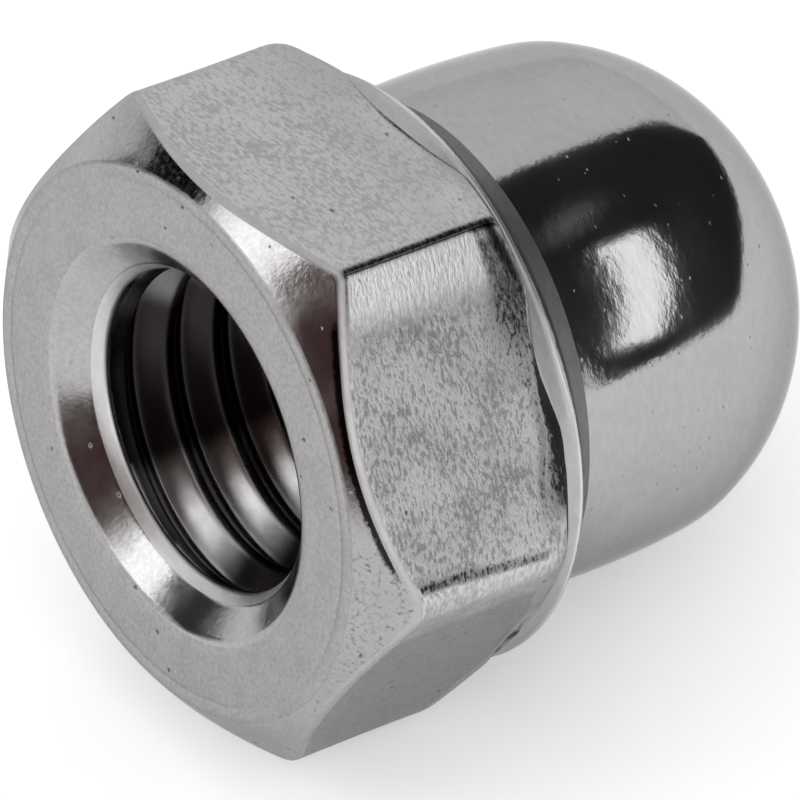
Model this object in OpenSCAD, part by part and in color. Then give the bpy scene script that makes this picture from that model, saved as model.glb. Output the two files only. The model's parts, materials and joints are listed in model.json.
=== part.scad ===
// Domed cap nut: a hexagon with a blind threaded bore, closed by a dome, in one piece of stainless steel.
// It lies as it comes to rest on a table, on the rim of its collar and on its dome, with a corner to
// each side. The origin is the centre of the bearing face, and +X runs along the nut towards the dome.

/* [Hexagon] */
// Width across the flats
across_flats = 13; // [12.4:0.1:16]
// Height from the bearing face to the rim of the collar
hex_height = 5.9; // [4.8:0.1:8]
// Rounding of the six long edges
edge_r = 0.55; // [0.2:0.05:1.2]
// How far the rim of the bearing face stands in from the flats
face_inset = 0.35; // [0.1:0.05:1]
// Angle of the chamfer round the bearing face, from the face
face_chamfer = 39; // [20:1:45]

/* [Collar] */
// How far the round collar stands out from the middle of each flat
collar_rise = 0.15; // [0.05:0.05:0.4]
// Width of the collar's outer band, along the nut
collar_band = 0.5; // [0.3:0.05:1]
// Rounding of the collar's rim
rim_r = 0.2; // [0.1:0.05:0.3]
// Angle of the chamfer that takes the corners down to the collar, from the face
corner_chamfer = 48; // [30:1:60]

/* [Dome] */
// Height over all, from the bearing face to the top of the dome
overall_height = 15; // [12.5:0.1:19]
// Diameter of the dome
dome_d = 11.4; // [9.4:0.1:12]
// Distance from the axis to the centre of the shoulder's arc, in section
shoulder_x = 0.5; // [0.3:0.1:2]
// Radius of the dome's crown, in section
crown_r = 10; // [8:0.5:16]
// Fillet between the collar and the dome
neck_r = 0.4; // [0.1:0.05:0.5]

/* [Bore] */
// Diameter of the bore, at the thread's crests
bore_d = 6.8; // [5:0.1:8.2]
// Thickness of metal left between the tip of the bore and the top of the dome
crown_wall = 2; // [1.5:0.1:4]
// Angle of the cone that the drill leaves
drill_angle = 118; // [90:1:140]
// Diameter of the countersunk mouth
mouth_d = 9; // [8.4:0.1:10.8]
// Angle of the countersink
mouth_angle = 120; // [60:5:120]

/* [Hidden] */
$fn = 96;
steel = [0.74, 0.74, 0.73];

flat_r = across_flats / 2;
face_r = flat_r - face_inset;
collar_r = flat_r + collar_rise;
dome_r = dome_d / 2;
bore_r = bore_d / 2;
mouth_r = mouth_d / 2;

// Centres of the arcs that round the hexagon's edges, from the axis
edge_centre = (flat_r - edge_r) / cos(30);
// How far the arcs stand past the flats, so that the two cross and don't only touch
edge_cross = 0.002;
// The outermost radius that the cutting cones reach past
clear_r = edge_centre + edge_r + 1;
// Height at which the collar's rounding starts, where the corner chamfer meets the collar
rim_z = hex_height - rim_r;
// Height at which the collar's band starts, at the end of the flats
ledge_z = hex_height - collar_band;
// How far the collar's root reaches into the hexagon
root = collar_r - dome_r;

// Centre of the crown's arc, on the axis
crown_z = overall_height - crown_r;
// The shoulder's arc is tangent to the dome's wall, and meets the crown's without an edge
shoulder_r = dome_r - shoulder_x;
shoulder_z = crown_z + sqrt(pow(crown_r - shoulder_r, 2) - pow(shoulder_x, 2));
// Radius at which the shoulder meets the crown
join_r = crown_r * shoulder_x / (crown_r - shoulder_r);

// Depth of the countersink, of the drill's cone, and of the bore at its full diameter
mouth_depth = (mouth_r - bore_r) / tan(mouth_angle / 2);
drill_tip = bore_r / tan(drill_angle / 2);
bore_depth = overall_height - crown_wall - drill_tip;

// The nut tips nose down until the rim and the shoulder touch one plane. The plane is tangent to two
// arcs: the rim's, and the shoulder's.
rest_z = shoulder_z - rim_z;
rest_r = collar_r - rim_r - shoulder_x;
rest_tilt = atan2(rest_r, rest_z) - asin((shoulder_r - rim_r) / norm([rest_z, rest_r]));

// Outline of the hexagon, with rounded corners
module hexagon() {
    polygon([for (side = [0:5], turn = [-30, 30])
        let (a = 30 + 60 * side)
        edge_centre * [cos(a), sin(a)] + edge_r * [cos(a + turn), sin(a + turn)]]);
    for (side = [0:5])
        rotate(30 + 60 * side) translate([edge_centre, 0]) circle(r = edge_r + edge_cross);
}

// What the turned chamfers leave of the hexagon: radius against height
module chamfer_outline() {
    polygon([
        [0, 0],
        [face_r, 0],
        [clear_r, (clear_r - face_r) * tan(face_chamfer)],
        [clear_r, rim_z - (clear_r - collar_r) * tan(corner_chamfer)],
        [collar_r, rim_z],
        [0, rim_z]]);
}

module hex_body() {
    intersection() {
        linear_extrude(height = hex_height) hexagon();
        rotate_extrude() chamfer_outline();
    }
}

// The collar: a back that rises out of the flats at 45 degrees, a narrow band and a rounded rim
module collar_outline() {
    polygon([
        [0, ledge_z - root],
        [collar_r - root, ledge_z - root],
        [collar_r, ledge_z],
        [collar_r, rim_z],
        [collar_r - rim_r, rim_z],
        [collar_r - rim_r, hex_height],
        [0, hex_height]]);
    translate([collar_r - rim_r, rim_z]) circle(r = rim_r);
}

// The dome: a straight wall, a shoulder and a crown, with a fillet at its foot
module dome_outline() {
    translate([0, shoulder_z]) mirror([0, 1]) square([dome_r, shoulder_z - rim_z]);
    intersection() {
        translate([0, shoulder_z]) square([dome_r, overall_height - shoulder_z]);
        translate([shoulder_x, shoulder_z]) circle(r = shoulder_r);
    }
    intersection() {
        translate([0, rim_z]) square([join_r, overall_height - rim_z]);
        translate([0, crown_z]) circle(r = crown_r);
    }
    difference() {
        translate([0, rim_z]) square([dome_r + neck_r, rim_r + neck_r]);
        translate([dome_r + neck_r, hex_height + neck_r]) circle(r = neck_r);
    }
}

// The blind bore, with its countersunk mouth and the cone of the drill
module bore() {
    rotate_extrude() polygon([
        [0, -1],
        [mouth_r + tan(mouth_angle / 2), -1],
        [bore_r, mouth_depth],
        [bore_r, bore_depth],
        [0, bore_depth + drill_tip]]);
}

module cap_nut() {
    color(steel) rotate([0, 90 + rest_tilt, 0]) difference() {
        union() {
            hex_body();
            rotate_extrude() union() {
                collar_outline();
                dome_outline();
            }
        }
        bore();
    }
}

cap_nut();
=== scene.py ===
"""A domed cap nut in stainless steel, at rest on a pale floor in soft studio light.

The nut is one closed skin. A line of points down its section is spun round the axis, and each
point of the skin is then moved to where the hexagon, the collar or the thread has it at its angle.
Sizes are in millimetres, along and round the nut's own axis, until the skin is finished.
"""

import json
import logging
import math
from collections.abc import Callable
from dataclasses import dataclass
from enum import Enum
from functools import cache, partial

import bmesh
import bpy
from mathutils import Matrix, Vector

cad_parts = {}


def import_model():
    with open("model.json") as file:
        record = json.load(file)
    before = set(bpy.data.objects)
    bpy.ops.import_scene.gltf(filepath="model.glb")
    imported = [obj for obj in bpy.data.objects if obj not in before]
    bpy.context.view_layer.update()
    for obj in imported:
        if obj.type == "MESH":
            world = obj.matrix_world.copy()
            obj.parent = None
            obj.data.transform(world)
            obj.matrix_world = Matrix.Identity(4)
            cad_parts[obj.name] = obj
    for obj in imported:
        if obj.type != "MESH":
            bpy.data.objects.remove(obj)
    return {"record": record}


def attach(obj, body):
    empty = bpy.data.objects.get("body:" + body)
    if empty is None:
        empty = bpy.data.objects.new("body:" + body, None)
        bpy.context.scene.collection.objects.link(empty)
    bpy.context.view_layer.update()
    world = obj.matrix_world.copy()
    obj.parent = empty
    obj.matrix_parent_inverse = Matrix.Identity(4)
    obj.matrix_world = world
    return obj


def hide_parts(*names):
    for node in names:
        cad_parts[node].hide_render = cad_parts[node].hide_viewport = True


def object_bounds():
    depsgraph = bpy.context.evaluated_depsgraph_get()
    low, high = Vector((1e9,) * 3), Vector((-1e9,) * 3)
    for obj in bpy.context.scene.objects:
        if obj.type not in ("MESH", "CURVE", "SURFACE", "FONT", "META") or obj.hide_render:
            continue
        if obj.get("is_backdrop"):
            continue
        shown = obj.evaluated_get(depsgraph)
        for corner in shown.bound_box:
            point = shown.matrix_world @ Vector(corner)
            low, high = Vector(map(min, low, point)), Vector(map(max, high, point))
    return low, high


log = logging.getLogger("cap_nut")

MM = 0.001
MICRON = 0.001 * MM
SIDES = 6
SECTOR = math.tau / SIDES
HALF_SECTOR = SECTOR / 2

# The front flat lies between these two edges of the hexagon, and starts at this angle
UPPER_EDGE, LOWER_EDGE = 5, 0
FRONT_FLAT = UPPER_EDGE * SECTOR

Point = tuple[float, float]
Colour = tuple[float, float, float, float]
Place = Callable[[float], Point]
Share = Callable[[float], float]
Socket = bpy.types.NodeSocket

# Black scale; the same dark also paints shade and dark reflections on the nut.
BLACK_SCALE_AND_SHADE: Colour = (0.025, 0.022, 0.022, 1.0)
# Painted shade: the bore goes almost black with depth.
DEEP_SHADE: Colour = (0.02, 0.015, 0.015, 1.0)
# Pale rubbed steel on the flats' edges, which is also a painted highlight.
RUBBED_AND_HIGHLIGHT: Colour = (0.9, 0.885, 0.88, 1.0)
GLANCING_TINT: Colour = (0.62, 0.61, 0.61, 1.0)


def mix(a: float, b: float, t: float) -> float:
    """Value between a and b, a at t = 0 and b at t = 1."""
    return a + (b - a) * t


def ease(low: float, high: float, value: float) -> float:
    """Smooth step from 0 to 1.

    Args:
        low: where the step starts.
        high: where it ends.
        value: the value to look up.

    Returns:
        0 below low, 1 above high, and a smooth ramp between.
    """
    t = min(max((value - low) / (high - low), 0.0), 1.0)
    return t * t * (3 - 2 * t)


def soft_min(a: float, b: float, width: float) -> float:
    """The smaller of two values, rounded off where they come within width of each other."""
    h = max(width - abs(a - b), 0.0) / width
    return min(a, b) - h * h * width / 4


def soft_max(a: float, b: float, width: float) -> float:
    """The larger of two values, rounded off where they come within width of each other."""
    return -soft_min(-a, -b, width)


def even(amount: float) -> Share:
    """The same amount of scale at every angle."""
    return lambda _angle: amount


def arc(centre: Point, radius: float, start: float, end: float, steps: int) -> list[Point]:
    """Points along an arc in the section.

    Args:
        centre: height and radius of the arc's centre.
        radius: radius of the arc.
        start: angle of its first point, in degrees from the radial direction towards the dome.
        end: angle of its last point.
        steps: number of spans.

    Returns:
        The points as (height, radius).
    """
    turns = [math.radians(mix(start, end, i / steps)) for i in range(steps + 1)]
    return [(centre[0] + radius * math.sin(a), centre[1] + radius * math.cos(a)) for a in turns]


def placed(name: str, bm: bmesh.types.BMesh, *finishes: bpy.types.Material) -> bpy.types.Object:
    """Put a finished mesh into the scene.

    Args:
        name: name of the object and its mesh.
        bm: the mesh, in metres and in its place, which is freed.
        finishes: its materials, in the order of its slots.

    Returns:
        The object.
    """
    mesh = bpy.data.meshes.new(name)
    bm.to_mesh(mesh)
    bm.free()
    for finish in finishes:
        mesh.materials.append(finish)
    piece = bpy.data.objects.new(name, mesh)
    bpy.context.scene.collection.objects.link(piece)
    return piece


class Surface(Enum):
    """The differently finished surfaces of the nut, in the order of its material slots."""

    DOME = 0
    COLLAR = 1
    FLAT = 2
    CHAMFER = 3
    FACE = 4
    BORE = 5
    # Darker steel round the foot of the dome and on the rim's outer chamfer: painted shade.
    NECK = 6
    # Paler steel on the rim's strip and the bore's lip: painted highlight.
    EDGE = 7


@dataclass(frozen=True)
class Loop:
    """One closed line of points round the nut.

    place gives its (height, radius) at an angle, and surface is the finish of the strip that runs
    up to it from the loop before. dark_scale_and_shade says how much black scale and painted shade
    lies on it at an angle, 0 to 1.
    """

    place: Place
    surface: Surface
    dark_scale_and_shade: Share = even(0.0)


def fixed(points: list[Point], surface: Surface) -> list[Loop]:
    """Loops that are true circles.

    Args:
        points: (height, radius) of each.
        surface: their finish.

    Returns:
        One loop a point.
    """
    return [Loop(lambda _angle, p=p: p, surface) for p in points]


@dataclass(frozen=True)
class Hexagon:
    """The six flats. They roll off a little towards their long edges, which are rounded.

    edge_radii, rolls and reaches have one number for each edge: the radius of its rounding, how
    far the flats beside it turn off before they meet it, in degrees, and over what distance. dish
    is how hollow the flats are, and steps is how many spans a corner's profile is summed up from.
    """

    across_flats: float = 13.0
    edge_radii: tuple[float, ...] = (0.75, 0.45, 0.4, 0.4, 0.4, 0.25)
    rolls: tuple[float, ...] = (3.0, 4.0, 4.0, 4.0, 4.0, 6.0)
    reaches: tuple[float, ...] = (1.3, 1.3, 1.3, 1.3, 1.3, 2.5)
    dish: float = 0.012
    steps: int = 240

    @property
    def flat(self) -> float:
        """Distance of each flat from the axis."""
        return self.across_flats / 2

    @property
    def corner(self) -> float:
        """Distance of the sharp corners from the axis."""
        return self.flat / math.cos(HALF_SECTOR)

    def corner_turn(self, angle: float) -> tuple[int, float]:
        """Which corner an angle is nearest to, and how far from it, in radians."""
        corner = round(angle / SECTOR)
        return corner % SIDES, angle - corner * SECTOR

    def edge_turn(self, corner: int) -> float:
        """Half the angle that a corner's rounding takes up, seen from the axis."""
        return self.edge_radii[corner] * 0.65 / self.corner

    def slant(self, corner: int, turn: float) -> float:
        """Angle between the surface's normal and the radial direction, near a corner."""
        roll = math.radians(self.rolls[corner])
        rolled = max(1 - turn * self.corner / self.reaches[corner], 0.0)
        rounded = 1 - ease(0.0, self.edge_turn(corner), turn)
        return HALF_SECTOR - turn - roll * rolled - (HALF_SECTOR - roll) * rounded

    @cache
    def profile(self, corner: int) -> list[float]:
        """Radii near a corner, at even steps of angle from it, summed up from the flat inwards."""
        reach = self.reaches[corner] / self.corner
        radii = [self.flat / math.cos(HALF_SECTOR - reach)]
        for i in range(self.steps, 0, -1):
            slant = self.slant(corner, reach * (i - 0.5) / self.steps)
            radii.append(radii[-1] * (1 + math.tan(slant) * reach / self.steps))
        return radii[::-1]

    @cache
    def radius(self, angle: float) -> float:
        """Radius of the rounded hexagon at an angle from its first corner.

        Args:
            angle: angle round the axis, in radians.

        Returns:
            The radius there.
        """
        corner, turn = self.corner_turn(angle)
        step = abs(turn) * self.corner / self.reaches[corner] * self.steps
        if step >= self.steps:
            return self.flat / math.cos(HALF_SECTOR - abs(turn))
        radii = self.profile(corner)
        return mix(radii[int(step)], radii[int(step) + 1], step % 1)

    def along(self, angle: float) -> float:
        """How far across its flat an angle is, from 0 at one edge to 1 at the next."""
        return angle / SECTOR % 1.0

    def columns(self) -> list[float]:
        """Angles of the skin's columns, closer together over the rounded corners.

        Returns:
            Angles from 0 to a full turn, both ends included.
        """
        near = (0.0, 0.16, 0.32, 0.48, 0.64, 0.82, 1.02, 1.3)
        spans = 17
        half = {}
        for corner in range(SIDES):
            edge = self.edge_turn(corner)
            last = near[-1] * edge
            half[corner] = [n * edge for n in near]
            half[corner] += [mix(last, HALF_SECTOR, i / spans) for i in range(1, spans + 1)]
        angles: list[float] = []
        for corner in range(SIDES):
            after = (corner + 1) % SIDES
            start = corner * SECTOR
            angles += [start + a for a in half[corner]]
            angles += [start + SECTOR - a for a in reversed(half[after][1:-1])]
        return [*angles, math.tau]


@dataclass(frozen=True)
class Dome:
    """The closed end: a slightly barrelled wall, a shoulder and a flatter crown."""

    top: float = 15.0
    radius: float = 5.7
    shoulder_centre: float = 0.5
    crown_radius: float = 10.0
    worn: float = 0.03
    waist: float = 8.6
    barrel: float = 22.0
    neck: float = 0.4
    low_neck: tuple[float, float] = (1.3, 0.73)
    low_side: float = math.radians(48)

    def wall(self, height: float) -> float:
        """Radius of the barrelled wall at a height."""
        return self.radius - self.worn - (height - self.waist) ** 2 / (2 * self.barrel)

    def foot_radius(self, above: float, foot: float, angle: float) -> float:
        """Radius of the wall and of the fillet at its foot, which is fuller on the nut's low side.

        Args:
            above: height above the collar's outer face.
            foot: height of that face.
            angle: angle round the axis.

        Returns:
            The radius there.
        """
        low = ease(0.15, 0.95, math.cos(angle - self.low_side))
        along = mix(self.neck, self.low_neck[0], low)
        out = mix(self.neck, self.low_neck[1], low)
        if above >= along:
            return self.wall(foot + above)
        near = 1 - above / along
        return self.wall(foot + along) + out * (1 - math.sqrt(1 - near * near))

    def loops(self, foot: float) -> list[Loop]:
        """The dome from its top down to the fillet on the collar.

        Args:
            foot: height of the collar's outer face.

        Returns:
            The loops, with the pole first.
        """
        shoulder = self.radius - self.shoulder_centre
        crown = self.top - self.crown_radius
        reach = self.crown_radius - shoulder
        height = crown + math.sqrt(reach**2 - self.shoulder_centre**2)
        join = math.degrees(math.acos(self.shoulder_centre / reach))
        points = arc((crown, 0.0), self.crown_radius, 90, join, 10)
        points[0] = (self.top, 0.0)
        points += arc((height, self.shoulder_centre), shoulder, join, 0, 34)[1:]
        points = [(h, soft_min(r, self.wall(h), 0.06) if h < 12 else r) for h, r in points]

        def wall(above: float) -> Place:
            """A point of the wall or the fillet, by its height above the collar."""
            return lambda angle: (foot + above, self.foot_radius(above, foot, angle))

        loops = fixed(points, Surface.DOME)
        rest = height - foot
        loops += [Loop(wall(mix(rest, 0.83, i / 10)), Surface.DOME) for i in range(1, 11)]
        low = (0.82, 0.74, 0.64, 0.53, 0.42, 0.32, 0.24, 0.17, 0.11, 0.07, 0.04, 0.02, 0.007, 0.0)
        # The fillet at the foot of the dome is painted dark as shade.
        loops += [Loop(wall(above), Surface.NECK) for above in low]
        return loops


@dataclass(frozen=True)
class Collar:
    """The round collar at the foot of the dome.

    In the middle of each flat it stands out as a narrow band behind a small step. Towards the
    corners the step runs out, and a chamfer takes the corner down to the rim instead.
    """

    hexagon: Hexagon
    height: float = 5.9
    rise: float = 0.15
    rim: tuple[float, float] = (0.3, 0.12)
    lean: float = 0.07
    strip: float = 0.14
    strip_slope: float = math.tan(math.radians(20))
    band_end: tuple[float, float] = (0.14, 0.46)
    step_back: float = 4.98
    step_slope: float = 1.15
    step_long: tuple[float, float] = (0.08, 0.34)
    slope: float = math.tan(math.radians(26))
    corner_round: float = 0.6

    def low(self, angle: float) -> float:
        """0 on the side of the rim that looks up, 1 on the side that looks down."""
        return ease(-0.85, 0.0, math.sin(angle))

    def edge(self, angle: float) -> float:
        """Height at which the rim's chamfer starts."""
        return self.height - mix(*self.rim, self.low(angle))

    def outer(self, angle: float) -> float:
        """Radius of the rim, a touch less towards the side that the nut isn't resting on."""
        return self.hexagon.flat + self.rise - self.lean * (1 - math.sin(angle)) / 2

    def strip_end(self, angle: float) -> float:
        """Height at which the band along the rim ends, which is wider on the low side."""
        return self.edge(angle) - mix(*self.band_end, self.low(angle))

    def on_rim(self, height: float, angle: float) -> float:
        """Radius of the collar at a height, on its band, its raised strip or the rim's chamfer."""
        above = height - self.edge(angle)
        drop = self.strip_slope * soft_min(max(-above, 0.0), self.strip, 0.04)
        return self.outer(angle) - drop - soft_max(above, 0.0, 0.06)

    def foot(self, angle: float) -> Point:
        """Where the hexagon runs out: at the step, or at the corner's chamfer."""
        radius = self.hexagon.radius(angle)
        step = self.step_back + self.step_slope * (radius - self.hexagon.flat)
        chamfer = self.strip_end(angle) - (radius - self.outer(angle)) * self.slope
        return soft_min(step, chamfer, 0.1), radius

    def top(self, angle: float) -> Vector:
        """The back edge of the band, at the top of the step or of the corner's chamfer."""
        step = self.step_back + self.step_slope * (self.hexagon.radius(angle) - self.hexagon.flat)
        long = mix(*self.step_long, ease(0.8, 0.98, math.cos(angle)))
        back = soft_min(step + long, self.strip_end(angle), 0.1)
        return Vector((back, self.on_rim(back, angle)))

    def band(self, share: float, angle: float) -> Point:
        """A point between the rim's outer face and the top of the step.

        Args:
            share: 0 at the face, a half at the foot of the rim's chamfer, 1 at the step.
            angle: angle round the axis.

        Returns:
            The place.
        """
        back = self.top(angle).x
        start = max(back, self.edge(angle) + 0.035)
        high = self.height - 0.012
        height = mix(high, start, share * 2) if share < 0.5 else mix(start, back, share * 2 - 1)
        return height, self.on_rim(height, angle)

    def runout(self, share: float, angle: float) -> Point:
        """A point between the top of the step and the hexagon.

        Args:
            share: 0 at the step, 0.3 where the rounding starts, 1 on the hexagon.
            angle: angle round the axis.

        Returns:
            The place, on a curve that touches what it joins.
        """
        foot, top = Vector(self.foot(angle)), self.top(angle)
        corner = ease(top.y - 0.05, top.y + 0.25, foot.y)
        start = foot.lerp(top, mix(0.4, 0.55, corner))
        if share < 0.3:
            return tuple(top.lerp(start, share / 0.3))
        t = (share - 0.3) / 0.7
        end = foot - Vector((mix(0.05, self.corner_round, corner), 0.0))
        return tuple(start.lerp(foot, t).lerp(foot.lerp(end, t), t))

    def face(self, angle: float) -> Point:
        """Where the flat outer face meets the rim's chamfer, a touch inside it."""
        return self.height, self.outer(angle) - (self.height - self.edge(angle)) - 0.03

    def wall_shade(self, angle: float) -> float:
        """Painted shade on the step's wall, thicker towards the lower end of each flat."""
        along = self.hexagon.along(angle)
        front = 1.0 if angle > FRONT_FLAT else 0.4
        return 0.3 + 0.7 * ease(0.3, 0.55, along) * (1 - ease(0.93, 0.99, along)) * front

    def end_scale_and_shade(self, lower: float, angle: float) -> float:
        """Black scale and painted shade at the end of a flat, where it runs into the collar, most
        of it on the front flat.

        Args:
            lower: share of the painted shade that lies along the lower part of the step.
            angle: angle round the axis.

        Returns:
            The scale and painted shade.
        """
        along = self.hexagon.along(angle)
        front = 1.0 if angle > FRONT_FLAT else 0.25
        high = 0.4 * (1 - ease(0.25, 0.55, along)) * ease(0.0, 0.04, along)
        low = 0.6 * lower * ease(0.35, 0.6, along) * (1 - ease(0.8, 0.93, along))
        return 0.2 + (high + low) * front

    def loops(self) -> list[Loop]:
        """The collar from its outer face down to the flats."""
        chamfer = (0.0, 0.06, 0.2, 0.35, 0.46)
        strip = (0.5, 0.55, 0.6)
        band = (0.66, 0.73, 0.8, 0.87, 0.94, 1.0)
        wall = (0.06, 0.15, 0.24, 0.3, 0.4, 0.5)
        flat = (0.6, 0.7, 0.8, 0.9, 1.0)
        # A painted dark line of shade where the rim's chamfer meets the strip.
        groove = even(0.6)
        # The rim's outer face and chamfer are painted dark as shade.
        loops = [Loop(self.face, Surface.NECK)]
        loops += [Loop(partial(self.band, s), Surface.NECK) for s in chamfer[:-1]]
        loops += [Loop(partial(self.band, chamfer[-1]), Surface.NECK, groove)]
        # The strip along the rim is painted pale as a highlight.
        loops += [Loop(partial(self.band, strip[0]), Surface.EDGE, groove)]
        loops += [Loop(partial(self.band, s), Surface.EDGE) for s in strip[1:]]
        loops += [Loop(partial(self.band, s), Surface.COLLAR) for s in band]
        # The step's wall is painted dark as shade.
        loops += [Loop(partial(self.runout, s), Surface.COLLAR, self.wall_shade) for s in wall]
        # The flats' ends by the collar carry black scale and painted shade.
        for i, share in enumerate(flat):
            dark_scale_and_shade = partial(self.end_scale_and_shade, mix(1.2, 0.2, i / (len(flat) - 1)))
            loops.append(Loop(partial(self.runout, share), Surface.FLAT, dark_scale_and_shade))
        return loops


@dataclass(frozen=True)
class Flats:
    """The flats between the collar and the turned chamfer of the bearing end.

    line_off is how far the painted dark reflection on the front flat lies from its lower edge, at
    the collar and at the chamfer.
    """

    hexagon: Hexagon
    collar: Collar
    face_radius: float = 6.15
    slope: float = math.tan(math.radians(39))
    rounding: float = 0.12
    line_off: tuple[float, float] = (0.24, 0.5)

    def chamfer_end(self, angle: float) -> float:
        """Height at which the turned chamfer runs out on the hexagon."""
        return (self.hexagon.radius(angle) - self.face_radius) * self.slope

    def on_flat(self, share: float, inset: float, angle: float) -> Point:
        """A point of a flat.

        Args:
            share: 0 at the collar's end, 1 at the chamfer.
            inset: distance that both ends are held back.
            angle: angle round the axis.

        Returns:
            The place, slightly dished between the flat's ends.
        """
        top = self.collar.runout(1.0, angle)[0] - inset
        low = self.chamfer_end(angle) + self.rounding + inset
        hollow = self.hexagon.dish * math.sin(math.pi * share)
        return mix(top, low, share), self.hexagon.radius(angle) - hollow

    def dark_scale_and_shade(self, share: float, angle: float) -> float:
        """Black scale and painted shade on a flat, the shade reaching further in at its upper end.

        Args:
            share: 0 at the collar's end, 1 at the chamfer.
            angle: angle round the axis.

        Returns:
            The scale and painted shade.
        """
        end = self.collar.end_scale_and_shade(0.4, angle)
        corner, turn = self.hexagon.corner_turn(angle)
        off = abs(turn) * self.hexagon.corner
        if corner == LOWER_EDGE and turn < 0:
            # A painted dark reflection runs along the lower edge of the front flat.
            line = 1 - ease(0.05, 0.2, abs(off - mix(*self.line_off, share)))
            return mix(0.2, end, 1 - ease(0.0, 0.05, share)) * ease(0.3, 0.7, off) + 0.52 * line
        # The flat below the front one is painted darker as shade.
        if angle < SECTOR:
            return 0.4 * ease(0.6, 1.2, off) if corner == LOWER_EDGE else 0.4
        along = self.hexagon.along(angle)
        reach = 0.05 + 0.1 * ease(0.0, 0.25, along) - 0.1 * ease(0.35, 0.65, along)
        reach += 0.1 * ease(0.6, 0.85, along)
        thin = 0.2 + 0.08 * (1 - ease(0.1, 0.5, share))
        if corner == UPPER_EDGE and turn > 0:
            thin *= ease(0.4, 2.2, off)
        return mix(thin, end, 1 - ease(0.0, reach, share))

    def chamfer_soil(self, share: float, angle: float) -> float:
        """Scale on the chamfer, most of it by the front flat and below it.

        Args:
            share: 0 at the flat, 1 at the bearing face.
            angle: angle round the axis.

        Returns:
            The scale.
        """
        a = math.degrees(angle)
        steep = 1 / math.sin(math.atan(self.slope))
        down = share * max(self.chamfer_end(angle) - 0.1, 0.01) * steep
        outer = 1 - ease(0.08, 0.26, down)
        front = 0.9 * outer * ease(303, 309, a) * (1 - ease(350, 358, a))
        below = 0.3 * max(ease(338, 352, a), 1 - ease(20, 60, a))
        return max(front, below) + 0.62 * ease(250, 255, a) * (1 - ease(269, 273, a))

    def rim_soil(self, angle: float) -> float:
        """Scale on the small rounding, most of it below the front flat."""
        a = math.degrees(angle)
        return 0.05 * ease(180, 240, a) + 0.12 * max(ease(335, 352, a), 1 - ease(60, 180, a))

    def edge_point(self, angle: float) -> Point:
        """The middle of the small rounding between flat and chamfer."""
        return self.chamfer_end(angle) + 0.015, self.hexagon.radius(angle) - 0.02

    def on_chamfer(self, share: float, angle: float) -> Point:
        """A point of the chamfer, from the flat at 0 to the bearing face at 1."""
        top = max(self.chamfer_end(angle) - 0.06, 0.06)
        height = mix(top, 0.05, share)
        return height, self.face_radius + height / self.slope

    def loops(self) -> list[Loop]:
        """The skin from the foot of the flats to the rim of the bearing face."""
        ends = [(0.0, 0.03), *((s, 0.1) for s in (0.0, 0.02, 0.04, 0.06))]
        ends += [(i / 12, 0.1) for i in range(1, 13)]
        loops = [
            Loop(partial(self.on_flat, *end), Surface.FLAT, partial(self.dark_scale_and_shade, end[0]))
            for end in ends
        ]
        loops.append(Loop(partial(self.on_flat, 1.0, 0.0), Surface.FLAT))
        loops.append(Loop(self.edge_point, Surface.COLLAR, self.rim_soil))
        loops.append(Loop(partial(self.on_chamfer, 0.0), Surface.COLLAR, self.rim_soil))
        for share in (0.04, 0.1, 0.18, 0.3, 0.5, 0.75, 1.0):
            place, dark_scale_and_shade = partial(self.on_chamfer, share), partial(self.chamfer_soil, share)
            loops.append(Loop(place, Surface.CHAMFER, dark_scale_and_shade))
        return loops


@dataclass(frozen=True)
class BearingFace:
    """The flat ring that the nut is tightened on."""

    outer: float = 6.15
    inner: float = 4.5
    groove_off: float = 0.28
    groove_depth: float = 0.02

    def loops(self) -> list[Loop]:
        """The ring, from its rim past the fine turned groove to the mouth of the bore."""
        groove, deep = self.outer - self.groove_off, self.groove_depth
        points = [(0.016, self.outer + 0.004), (0.0, self.outer - 0.05), (0.0, self.outer - 0.12)]
        points += [(0.0, groove + 0.05), (deep, groove + 0.015), (deep, groove - 0.015)]
        points += [(0.0, groove - 0.05), (0.0, groove - 0.12)]
        points += [(0.0, mix(self.outer, self.inner, s)) for s in (0.4, 0.6, 0.75)]
        points += [(0.0, self.inner + 0.25), (0.01, self.inner + 0.13), (0.035, self.inner + 0.02)]
        return fixed(points, Surface.FACE)


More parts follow.
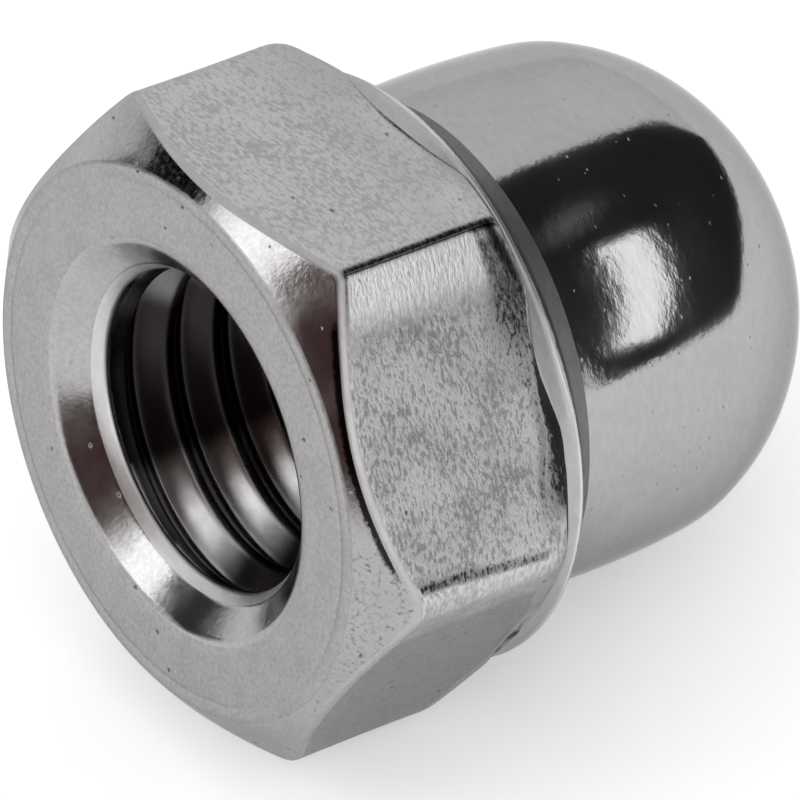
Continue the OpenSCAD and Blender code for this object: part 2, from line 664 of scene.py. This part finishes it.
@dataclass(frozen=True)
class Bore:
    """The blind bore: a countersink with a rounded lip, a right-handed thread and a drilled end.

    crest_flat and root_flat are the shares of the thread's pitch that are left flat on the crests
    and at the bottom of the groove.
    """

    mouth: float = 4.5
    crest: float = 3.4
    root: float = 4.0
    pitch: float = 1.25
    crest_flat: float = 0.12
    root_flat: float = 0.02
    start_turn: float = 0.476
    lip: tuple[Point, ...] = (
        (0.53, 3.85), (0.56, 3.81), (0.6, 3.77), (0.7, 3.7), (0.8, 3.63), (0.87, 3.59),
    )
    thread_start: float = 0.95
    thread_end: float = 9.7
    depth: float = 10.957
    drill_slope: float = math.tan(math.radians(59))

    def groove(self, phase: float) -> float:
        """How deep the thread is cut at a place in its pitch.

        Args:
            phase: 0 to 1, with the middle of the groove at a half.

        Returns:
            0 on the crest and 1 at the bottom of the groove.
        """
        cut = 1 - 2 * abs(phase - 0.5) - self.crest_flat
        cut /= 1 - self.crest_flat - self.root_flat
        return soft_min(soft_max(cut, 0.0, 0.25), 1.0, 0.2)

    def radius(self, height: float, angle: float) -> float:
        """Radius of the threaded part.

        Args:
            height: distance from the bearing face.
            angle: angle round the axis.

        Returns:
            The radius, between the crest's and the root's.
        """
        phase = (height / self.pitch - angle / math.tau - self.start_turn) % 1.0
        cut = ease(self.thread_start, self.thread_start + 0.05, height)
        cut *= 1 - ease(self.thread_end - 1.6, self.thread_end - 0.2, height)
        thread = self.crest + (self.root - self.crest) * self.groove(phase) * cut
        lead = self.lip[-1][1] - 0.2 * ease(self.thread_start, self.thread_start + 0.9, height)
        return soft_max(thread, lead, 0.05)

    def helix(self, turn: float, angle: float) -> Point:
        """A point that climbs with the thread.

        Args:
            turn: how many pitches up the bore it starts.
            angle: angle round the axis.

        Returns:
            Its place, held between the lip and the end of the thread.
        """
        height = self.pitch * (turn + self.start_turn - 1 + angle / math.tau)
        height = min(max(height, self.thread_start), self.thread_end)
        return height, self.radius(height, angle)

    def loops(self) -> list[Loop]:
        """The bore from its mouth to the tip of the drill's cone."""
        mouth = (0.08, self.mouth - 0.1)
        lip = self.lip[0]
        cone = [(mix(mouth[0], lip[0], s), mix(mouth[1], lip[1], s)) for s in (0.0, 0.1, 0.4, 0.8)]
        rounded = [*self.lip, (0.915, self.lip[-1][1] + 0.001), (0.935, self.lip[-1][1] + 0.012)]
        half = (0.0, 0.09, 0.125, 0.16, 0.22, 0.28, 0.34, 0.4, 0.43, 0.46)
        phases = [*half, 0.5, *(1 - p for p in reversed(half[1:]))]
        turns = math.ceil(self.thread_end / self.pitch) + 1
        # The lip is painted pale as a highlight.
        loops = fixed(cone + rounded[:3], Surface.CHAMFER) + fixed(rounded[3:], Surface.EDGE)
        climbs = [turn + phase for turn in range(turns) for phase in phases]
        loops += [Loop(partial(self.helix, climb), Surface.BORE) for climb in climbs]
        tip = self.depth + self.crest / self.drill_slope
        points = [(mix(self.thread_end, self.depth, s), self.crest) for s in (0.3, 0.7, 0.97)]
        points += [
            (mix(self.depth, tip, s), mix(self.crest, 0.0, s)) for s in (0.03, 0.25, 0.5, 0.75, 1.0)
        ]
        return loops + fixed(points, Surface.BORE)


class Graph:
    """A material's node tree, with the few calls that the finishes need."""

    def __init__(self, name: str) -> None:
        """Start an empty tree for a material of this name."""
        self.material = bpy.data.materials.new(name)
        self.material.use_nodes = True
        self.tree = self.material.node_tree
        self.tree.nodes.clear()

    def node(
        self, kind: str, inputs: dict[str | int, object] | None = None, **props: object
    ) -> bpy.types.Node:
        """Add a node.

        Args:
            kind: Blender's name of the node type, without its ShaderNode.
            inputs: values or sockets for its inputs, by name or number.
            props: properties to set on the node.

        Returns:
            The new node.
        """
        node = self.tree.nodes.new("ShaderNode" + kind)
        for key, value in props.items():
            setattr(node, key, value)
        for key, value in (inputs or {}).items():
            if isinstance(value, Socket):
                self.tree.links.new(value, node.inputs[key])
            else:
                node.inputs[key].default_value = value
        return node

    def math(self, operation: str, a: object, b: object = 0.0, clamp: bool = False) -> Socket:
        """Add a math node and give its output."""
        return self.node("Math", {0: a, 1: b}, operation=operation, use_clamp=clamp).outputs[0]

    def times(self, a: object, b: object) -> Socket:
        """Multiply two values."""
        return self.math("MULTIPLY", a, b)

    def plus(self, a: object, b: object) -> Socket:
        """Add two values."""
        return self.math("ADD", a, b)

    def vector(self, operation: str, a: object, b: object) -> Socket:
        """Add a vector math node and give its output."""
        return self.node("VectorMath", {0: a, 1: b}, operation=operation).outputs[0]

    def ramp(
        self, value: object, low: float, high: float, start: float = 0.0, end: float = 1.0
    ) -> Socket:
        """Map a value smoothly from one range to another.

        Args:
            value: the socket to map.
            low: value at which the ramp starts.
            high: value at which it ends.
            start: what it gives at low.
            end: what it gives at high.

        Returns:
            The mapped socket.
        """
        inputs = {"Value": value, "From Min": low, "From Max": high, "To Min": start, "To Max": end}
        return self.node("MapRange", inputs, interpolation_type="SMOOTHSTEP").outputs[0]

    def stretched(self, vector: Socket, scale: tuple[float, float, float]) -> Socket:
        """Scale a place, so that a pattern read there is squeezed or stretched."""
        return self.node("Mapping", {"Vector": vector, "Scale": scale}).outputs[0]

    def noise(
        self, vector: Socket, scale: float, detail: float, roughness: float = 0.5
    ) -> bpy.types.Node:
        """Add a noise texture read at a place."""
        inputs = {"Vector": vector, "Scale": scale, "Detail": detail, "Roughness": roughness}
        return self.node("TexNoise", inputs)

    def attribute(self, name: str) -> Socket:
        """The value of one of the mesh's own attributes."""
        return self.node("Attribute", attribute_name=name).outputs["Fac"]

    def blend(self, share: object, a: object, b: object) -> Socket:
        """Mix two colours and give the output."""
        return self.node("Mix", {0: share, 6: a, 7: b}, data_type="RGBA").outputs[2]

    def bump(self, height: Socket, depth: float, normal: Socket | None = None) -> Socket:
        """Turn a height into a normal.

        Args:
            height: the height, 0 to 1.
            depth: how deep that is, in thousandths of a millimetre.
            normal: the normal to start from, if it isn't the mesh's own.

        Returns:
            The new normal.
        """
        inputs = {"Height": height, "Strength": 1.0, "Distance": depth * MICRON}
        if normal is not None:
            inputs["Normal"] = normal
        return self.node("Bump", inputs).outputs[0]

    def output(self, shader: Socket) -> bpy.types.Material:
        """Join a shader to the material's output and give the material."""
        self.node("OutputMaterial", {"Surface": shader})
        return self.material


class Grain(Enum):
    """Which way the fine marks of a finish run."""

    AROUND = (8.0, 3.0, 3.0)
    PRESSED = (13.0, 5.5, 5.5)
    EVEN = (9.0, 9.0, 9.0)


@dataclass(frozen=True)
class SteelFinish:
    """Bare steel with fine grain, larger mottling, scattered pits and black scale.

    Patterns are scaled per millimetre. depth, wave and pit_depth are in thousandths of one. deep
    is the share of the metal's colour that is left down the bore under painted shade, and speck the
    scale that lies everywhere.
    More scale and painted shade, the roughness, and the worn edges, paler partly as a painted
    highlight, follow the mesh's attributes.
    """

    name: str
    pale: float = 0.42
    dark: float = 0.34
    rough: float = 0.35
    rough_spread: float = 0.12
    grain: Grain = Grain.EVEN
    depth: float = 3.0
    wave: float = 0.0
    wave_scale: float = 1.5
    contrast: float = 0.14
    deep: float = 1.0
    gritty: bool = False
    mottle: float = 0.8
    pits: float = 1.6
    pit_size: float = 0.16
    pit_share: float = 0.5
    pit_depth: float = 8.0
    pit_tone: float = 0.3
    pit_shape: tuple[float, float, float] = (1.5, 0.8, 0.8)
    coarse_share: float = 0.35
    turned: float = 0.0
    speck: float = 0.0

    def scattered_pits(self, g: Graph, local: Socket, fine: bpy.types.Node) -> Socket:
        """Pits in some of the cells of a warped pattern.

        Args:
            g: the material's nodes.
            local: place along the nut's own axis, in millimetres.
            fine: the fine grain, which roughens the pits' outlines.

        Returns:
            1 inside a pit and 0 outside.
        """
        warp = g.vector("MULTIPLY", fine.outputs["Color"], (0.1, 0.1, 0.1))
        place = g.stretched(g.vector("ADD", local, warp), self.pit_shape)
        cells = g.node("TexVoronoi", {"Vector": place, "Scale": self.pits}).outputs
        here = g.ramp(cells["Color"], 1 - self.pit_share, 1 - self.pit_share * 0.6)
        hole = g.ramp(cells["Distance"], self.pit_size * 0.4, self.pit_size, 1.0, 0.0)
        return g.times(hole, here)

    def relief(self, g: Graph, local: Socket, fine: Socket) -> Socket:
        """Height of the grain, with the finish's waves or turning marks.

        Args:
            g: the material's nodes.
            local: place along the nut's own axis, in millimetres.
            fine: the fine grain.

        Returns:
            The height.
        """
        height = fine
        if self.wave:
            squeeze = (self.wave_scale * 1.5, self.wave_scale, self.wave_scale)
            waves = g.noise(g.stretched(local, squeeze), 1.0, 3.5, 0.55).outputs[0]
            height = g.plus(height, g.times(waves, self.wave / self.depth))
        if self.turned:
            flat = g.vector("MULTIPLY", local, (0.0, 1.0, 1.0))
            reach = g.node("VectorMath", {0: flat}, operation="LENGTH").outputs["Value"]
            marks = {"W": reach, "Scale": self.turned, "Detail": 3.0}
            rings = g.node("TexNoise", marks, noise_dimensions="1D").outputs[0]
            height = g.plus(g.times(height, 0.6), g.times(rings, 0.5))
        return height

    def build(self, tilt: float) -> bpy.types.Material:
        """Make the material.

        Args:
            tilt: how far the nut's axis dips, so that the grain follows the nut and not the floor.

        Returns:
            The material.
        """
        g = Graph(self.name)
        place = g.node("TexCoord").outputs["Object"]
        turn = {"Vector": place, "Rotation": (0.0, -tilt, 0.0), "Scale": (1 / MM,) * 3}
        local = g.node("Mapping", turn).outputs[0]
        grain = g.noise(g.stretched(local, self.grain.value), 1.0, 5.0, 0.65)
        fine = grain.outputs[0]
        coarse = g.noise(local, self.mottle, 4.0).outputs[0]
        pit = self.scattered_pits(g, local, grain)
        height = self.relief(g, local, fine)
        # How rubbed each point is; on the flats it also paints a highlight, and in the bore it
        # lifts the painted shade.
        worn = g.attribute("wear_and_highlight")
        grit: object = 1.0
        if self.gritty:
            grit = g.times(g.attribute("grit"), g.ramp(worn, 0.0, 1.0, 1.0, 0.25))
            height = g.times(height, grit)

        share = g.plus(g.times(coarse, self.coarse_share), g.times(fine, 1 - self.coarse_share))
        tone = g.ramp(share, 0.5 - self.contrast, 0.5 + self.contrast)
        if self.gritty:
            tone = g.plus(g.times(g.math("SUBTRACT", tone, 0.5), grit), 0.5)
        dark = (self.dark, self.dark * 0.975, self.dark * 0.975, 1.0)
        pale = (self.pale, self.pale * 0.985, self.pale * 0.98, 1.0)
        colour = g.blend(tone, dark, pale)
        # Rubbed edges of the flats are painted paler: partly rubbing, partly a painted highlight.
        if self.gritty:
            colour = g.blend(g.ramp(worn, 0.4, 1.0, 0.0, 0.4), colour, RUBBED_AND_HIGHLIGHT)
        stain = self.dark * self.pit_tone
        colour = g.blend(g.times(pit, 0.85), colour, (stain, stain * 0.95, stain * 0.93, 1.0))

        uneven = g.times(g.math("SUBTRACT", fine, 0.5), 1.3)
        uneven = g.plus(uneven, g.times(g.math("SUBTRACT", coarse, 0.5), 0.2))
        uneven = g.times(uneven, g.math("MAXIMUM", grit, 0.5))
        # Black scale, with the painted shade and painted dark reflections that the same attribute
        # carries.
        scale = g.plus(g.attribute("dark_scale_and_shade"), self.speck)
        colour = g.blend(g.ramp(g.plus(scale, uneven), 0.22, 0.75), colour, BLACK_SCALE_AND_SHADE)
        # Painted shade: down the bore the colour goes almost black, lifted where the thread's
        # highlights fall.
        if self.deep < 1:
            down = g.node("SeparateXYZ", {0: local}).outputs[0]
            deep_shade = g.ramp(down, 0.9, 1.6, 0.85, 1 - self.deep)
            colour = g.blend(g.times(deep_shade, g.ramp(worn, 0.0, 1.0, 1.0, 0.1)), colour, DEEP_SHADE)

        smooth, matt = self.rough - self.rough_spread / 2, self.rough + self.rough_spread / 2
        rough = g.ramp(coarse, 0.3, 0.7, smooth, matt)
        rough = g.math("ADD", rough, g.times(pit, 0.25), clamp=True)
        if self.gritty:
            rough = g.times(rough, g.ramp(worn, 0.0, 1.0, 1.0, 0.55))
        normal = g.bump(height, self.depth)
        normal = g.bump(g.math("SUBTRACT", 1.0, pit), self.pit_depth, normal)
        steel = {
            "Base Color": colour, "Metallic": 1.0, "Roughness": rough, "Normal": normal,
            "Specular Tint": GLANCING_TINT,
        }
        return g.output(g.node("BsdfPrincipled", steel).outputs[0])


FINISHES: dict[Surface, SteelFinish] = {
    Surface.DOME: SteelFinish(
        "satin_dome", dark=0.38, rough=0.1, rough_spread=0.04, grain=Grain.AROUND, depth=1.0,
        wave=3.2, wave_scale=2.8, mottle=0.6, pits=3.2, pit_size=0.14, pit_depth=4.0, pit_tone=0.7,
    ),
    Surface.COLLAR: SteelFinish(
        "turned_collar", pale=0.46, dark=0.4, rough=0.38, grain=Grain.AROUND, depth=1.5,
        pit_share=0.3, pit_size=0.1, pit_depth=3.0,
    ),
    Surface.FLAT: SteelFinish(
        "pressed_flats", pale=0.62, dark=0.29, rough=0.3, grain=Grain.PRESSED, depth=15.0,
        contrast=0.1, mottle=0.9, coarse_share=0.25, pits=1.9, pit_size=0.13, pit_share=0.4,
        pit_shape=(1.2, 0.6, 1.0), gritty=True,
    ),
    Surface.CHAMFER: SteelFinish(
        "turned_chamfer", pale=0.44, dark=0.36, rough=0.2, wave=5.0, pits=2.6, pit_depth=10.0,
    ),
    Surface.FACE: SteelFinish(
        "bearing_face", pale=0.41, dark=0.31, rough=0.34, depth=6.0, mottle=1.4, pits=2.4,
        pit_size=0.14, pit_share=0.4, turned=7.0, speck=0.02,
    ),
    # The bore is painted almost black with depth: painted shade.
    Surface.BORE: SteelFinish(
        "cut_thread", dark=0.36, rough=0.3, rough_spread=0.1, grain=Grain.AROUND, depth=2.0,
        pit_share=0.1, deep=0.03,
    ),
    # The rim's strip and the bore's lip: painted highlight.
    Surface.EDGE: SteelFinish(
        "edge_painted_highlight", pale=0.66, dark=0.6, rough=0.38, grain=Grain.AROUND, pit_share=0.1,
    ),
    # Round the foot of the dome: painted shade.
    Surface.NECK: SteelFinish(
        "neck_painted_shade", pale=0.19, dark=0.16, rough=0.42, grain=Grain.AROUND, depth=2.0, pit_share=0.2,
    ),
}


@dataclass
class CapNut:
    """The whole nut, in one piece.

    tilt is how far its axis dips, and bright_turns are the angles at which the painted shade down
    the thread is lifted, all over and a little.
    """

    tilt: float
    bright_turns: tuple[float, float] = (math.radians(108), math.radians(210))
    hexagon: Hexagon = Hexagon()
    dome: Dome = Dome()
    face: BearingFace = BearingFace()
    bore: Bore = Bore()

    def wear_and_highlight(self, angle: float, surface: Surface) -> float:
        """How worn smooth the flats are along their edges, where they are also painted paler as a
        highlight, and where the painted shade in the bore is lifted.

        Args:
            angle: angle round the axis.
            surface: finish of the skin there.

        Returns:
            0 where it is as made, 1 where it is smooth and painted paler, or where the bore's
            painted shade is lifted.
        """
        if surface is Surface.BORE:
            # In the bore this lifts the painted shade at the bright turns.
            most, less = (math.cos(angle - turn) for turn in self.bright_turns)
            return max(ease(0.866, 0.978, most), 0.5 * ease(0.9, 0.985, less))
        if surface is not Surface.FLAT:
            return 0.0
        corner, turn = self.hexagon.corner_turn(angle)
        off = abs(turn) * self.hexagon.corner
        if corner == LOWER_EDGE and turn < 0:
            return 0.55 * (1 - ease(0.15, 0.45, off))
        reach = self.hexagon.reaches[corner]
        most = 1.0 if corner == UPPER_EDGE and turn > 0 else 0.35
        return most * (1 - ease(0.2 * reach, reach, off))

    def painted_edge_reflection(self, angle: float, surface: Surface) -> float:
        """Painted dark reflection along the upper long edge of the front flat."""
        corner, turn = self.hexagon.corner_turn(angle)
        if corner != UPPER_EDGE or surface is not Surface.FLAT:
            return 0.0
        return 0.42 * (1 - ease(0.06, 0.2, abs(turn) * self.hexagon.corner))

    def grit(self, angle: float) -> float:
        """How rough a flat is: the one in front, at -30 degrees, is rougher than the others."""
        return mix(0.5, 1.0, ease(0.84, 0.88, math.cos(angle + HALF_SECTOR)))

    def section(self) -> list[Loop]:
        """Every loop of the skin, from the top of the dome round to the tip of the bore."""
        collar = Collar(self.hexagon)
        flats = Flats(self.hexagon, collar, self.face.outer)
        return [
            *self.dome.loops(collar.height),
            *collar.loops(),
            *flats.loops(),
            *self.face.loops(),
            *self.bore.loops(),
        ]

    def skin(self) -> bmesh.types.BMesh:
        """Spin the section and move each point to its place.

        Returns:
            The closed skin, in millimetres along its own axis.
        """
        loops, columns = self.section(), self.hexagon.columns()
        bm = bmesh.new()
        level = bm.verts.layers.int.new("loop")
        wear_and_highlight, grit, dark_scale_and_shade = (bm.verts.layers.float.new(name) for name in ("wear_and_highlight", "grit", "dark_scale_and_shade"))
        line = []
        for number, loop in enumerate(loops):
            height, radius = loop.place(0.0)
            vert = bm.verts.new((height, -radius - 0.001, 0.0))
            vert[level] = number
            line.append(vert)
        edges = [bm.edges.new(pair) for pair in zip(line, line[1:])]
        bmesh.ops.spin(
            bm, geom=line + edges, cent=(0, 0, 0), axis=(1, 0, 0), dvec=(0, 0, 0), angle=math.tau,
            steps=len(columns) - 1, use_merge=False, use_normal_flip=False, use_duplicate=False,
        )
        bm.verts.index_update()
        for face in bm.faces:
            face.smooth = True
            last = max(face.verts, key=lambda v: v[level])
            face.material_index = loops[last[level]].surface.value
        for vert in bm.verts:
            angle = columns[vert.index // len(loops)]
            loop = loops[vert[level]]
            height, radius = loop.place(angle)
            vert.co = (height, -radius * math.cos(angle), -radius * math.sin(angle))
            vert[wear_and_highlight] = self.wear_and_highlight(angle, loop.surface)
            # Black scale, painted shade and painted dark reflections, from the loop and the front
            # flat's upper edge.
            vert[dark_scale_and_shade] = loop.dark_scale_and_shade(angle) + self.painted_edge_reflection(angle, loop.surface)
            vert[grit] = self.grit(angle) * (1 + vert[dark_scale_and_shade])
        bmesh.ops.remove_doubles(bm, verts=bm.verts[:], dist=0.0005)
        bmesh.ops.recalc_face_normals(bm, faces=bm.faces[:])
        return bm

    def build(self) -> bpy.types.Object:
        """Make the nut's object, lying as it rests.

        Returns:
            The finished object.
        """
        bm = self.skin()
        rest = Matrix.Rotation(self.tilt, 4, "Y") @ Matrix.Scale(MM, 4)
        bmesh.ops.transform(bm, matrix=rest, verts=bm.verts[:])
        gaps = sum(1 for e in bm.edges if len(e.link_faces) != 2)
        volume = bm.calc_volume() / MM**3
        log.info("domed_nut: %d faces, %d open edges, %.0f mm3", len(bm.faces), gaps, volume)
        return placed("domed_nut", bm, *(FINISHES[s].build(self.tilt) for s in Surface))


def direction(azimuth: float, elevation: float) -> Vector:
    """Unit vector from the nut towards a bearing in the room.

    Args:
        azimuth: degrees, 0 towards -Y and 90 towards +X.
        elevation: degrees above the floor.

    Returns:
        The vector.
    """
    a, e = math.radians(azimuth), math.radians(elevation)
    return Vector((math.sin(a) * math.cos(e), -math.cos(a) * math.cos(e), math.sin(e)))


@dataclass(frozen=True)
class Card:
    """A flat panel of the studio that faces the nut: a dark flag, or a lamp if it has a level.

    azimuth and elevation say where it hangs, and wide and tall how large the nut sees it, all in
    degrees. soft is the share of each side over which a lamp fades out.
    """

    name: str
    azimuth: float
    elevation: float
    wide: float
    tall: float
    level: float = 0.0
    colour: tuple[float, float, float] = (0.03, 0.03, 0.03)
    distance: float = 0.15
    soft: float = 0.25
    turn: float = 0.0

    def material(self) -> bpy.types.Material:
        """Dark paint for a flag, or an even glow that fades towards the rim for a lamp."""
        g = Graph(self.name)
        if not self.level:
            return g.output(g.node("BsdfDiffuse", {"Color": (*self.colour, 1.0)}).outputs[0])
        panel = g.node("TexCoord").outputs["UV"]
        across = g.node("SeparateXYZ", {0: panel}).outputs
        level: object = self.level
        for side in (across[0], across[1]):
            edge = g.math("MINIMUM", side, g.math("SUBTRACT", 1.0, side))
            level = g.times(g.ramp(edge, 0.0, self.soft), level)
        glow = g.node("Emission", {"Color": (1.0, 1.0, 1.0, 1.0), "Strength": level}).outputs[0]
        clear = g.node("BsdfTransparent").outputs[0]
        whole = g.times(level, 1 / self.level)
        return g.output(g.node("MixShader", {0: whole, 1: clear, 2: glow}).outputs[0])

    def build(self) -> bpy.types.Object:
        """Make the panel.

        Returns:
            The panel's object, which only the light and the reflections see.
        """
        towards = direction(self.azimuth, self.elevation)
        spans = (2 * math.tan(math.radians(seen / 2)) for seen in (self.wide, self.tall))
        width, height = (self.distance * span for span in spans)
        bm = bmesh.new()
        bm.loops.layers.uv.new("panel")
        bmesh.ops.create_grid(bm, x_segments=1, y_segments=1, size=0.5, calc_uvs=True)
        hung = Matrix.Translation(towards * self.distance)
        hung = hung @ towards.to_track_quat("Z", "Y").to_matrix().to_4x4()
        hung = hung @ Matrix.Rotation(math.radians(-self.turn), 4, "Z")
        hung = hung @ Matrix.Diagonal((width, height, 1.0, 1.0))
        bmesh.ops.transform(bm, matrix=hung, verts=bm.verts[:])
        card = placed(self.name, bm, self.material())
        card.visible_camera = False
        card.visible_shadow = False
        if not self.level:
            card.visible_diffuse = False
        card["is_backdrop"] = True
        return card


@dataclass(frozen=True)
class Floor:
    """The pale floor."""

    height: float
    colour: float = 0.88
    glow: float = 0.27
    reach: float = 3.0

    def build(self) -> bpy.types.Object:
        """Make the floor.

        Returns:
            The floor's object.
        """
        bm = bmesh.new()
        bmesh.ops.create_grid(bm, x_segments=4, y_segments=4, size=self.reach)
        bmesh.ops.translate(bm, verts=bm.verts[:], vec=(0, 0, self.height))
        g = Graph("pale_floor")
        c = self.colour
        paint = g.node("BsdfDiffuse", {"Color": (c, c, c, 1.0)}).outputs[0]
        rays = g.node("LightPath").outputs
        seen = g.plus(rays["Is Camera Ray"], rays["Is Glossy Ray"])
        seen = g.math("ADD", seen, rays["Is Transmission Ray"], clamp=True)
        glow = g.node("Emission", {"Strength": g.times(seen, self.glow)}).outputs[0]
        lit = g.output(g.node("AddShader", {0: paint, 1: glow}).outputs[0])
        floor = placed("floor", bm, lit)
        floor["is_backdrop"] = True
        return floor


@dataclass(frozen=True)
class Studio:
    """The light: a pale surround, lamps and dark flags."""

    surround: float = 0.95
    cards: tuple[Card, ...] = (
        Card("right_flag", 67, 0, 80, 124),
        Card("right_lamp", 45.4, 21, 8.2, 42, level=1.9, distance=0.14, soft=0.12, turn=36),
        Card("right_sheen", 68, 45, 30, 14, level=0.2, distance=0.141, soft=0.5),
        Card("front_lamp", -4, 19, 56, 40, level=1.6, soft=0.15),
        Card("left_flag", -71, 34, 44, 76, colour=(0.09, 0.05, 0.045)),
        Card("left_lamp", -117, 36, 26, 36, level=2.6, distance=0.14, soft=0.12),
        Card("rear_flag", -146, 18, 24, 36, colour=(0.05, 0.045, 0.045)),
    )

    def build(self, floor_height: float) -> None:
        """Set the light up.

        Args:
            floor_height: height of the floor.
        """
        world = bpy.data.worlds.new("pale_surround")
        bpy.context.scene.world = world
        world.use_nodes = True
        back = world.node_tree.nodes["Background"]
        back.inputs["Color"].default_value = (1.0, 1.0, 1.0, 1.0)
        back.inputs["Strength"].default_value = self.surround
        for card in self.cards:
            card.build()
            log.info("%s: %s", card.name, "lamp" if card.level else "flag")
        Floor(floor_height).build()
        log.info("floor: at %.2f mm", floor_height / MM)


@dataclass(frozen=True)
class Viewpoint:
    """The camera: where it stands as seen from the nut, and how it is turned."""

    azimuth: float = -32.674
    elevation: float = 43.344
    roll: float = -5.939
    distance: float = 0.2691
    right: float = 4.766
    up: float = 0.916
    lens: float = 576.9

    def build(self) -> bpy.types.Object:
        """Make the camera and set it as the scene's.

        Returns:
            The camera's object.
        """
        back = direction(self.azimuth, self.elevation)
        side = Vector((0, 0, 1)).cross(back).normalized()
        turn = Matrix.Rotation(math.radians(self.roll), 3, back)
        side = turn @ side
        rise = back.cross(side)
        data = bpy.data.cameras.new("camera")
        data.lens = self.lens
        data.sensor_width = 36.0
        data.clip_start, data.clip_end = 0.01, 10.0
        camera = bpy.data.objects.new("camera", data)
        place = side * self.right * MM + rise * self.up * MM + back * self.distance
        turned = Matrix((side, rise, back)).transposed().to_4x4()
        camera.matrix_world = Matrix.Translation(place) @ turned
        bpy.context.scene.collection.objects.link(camera)
        bpy.context.scene.camera = camera
        return camera


def rest_tilt(record: dict) -> float:
    """How far the nut's axis dips towards the dome, from the thread's axis in the record."""
    thread = next(m for m in record["mounts"] if m["name"] == "thread")
    x, _, z = thread["axis"]
    return math.atan2(z, -x)


def main() -> None:
    """Build the nut, dress it and set it in the studio."""
    logging.basicConfig(level=logging.INFO, format="%(name)s: %(message)s")
    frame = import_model()
    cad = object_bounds()
    nut = CapNut(tilt=rest_tilt(frame["record"])).build()
    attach(nut, "root")
    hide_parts("cap_nut")
    Studio().build(cad[0].z)
    Viewpoint().build()
    bpy.context.scene.view_settings.view_transform = "Standard"


if __name__ == "__main__":
    main()
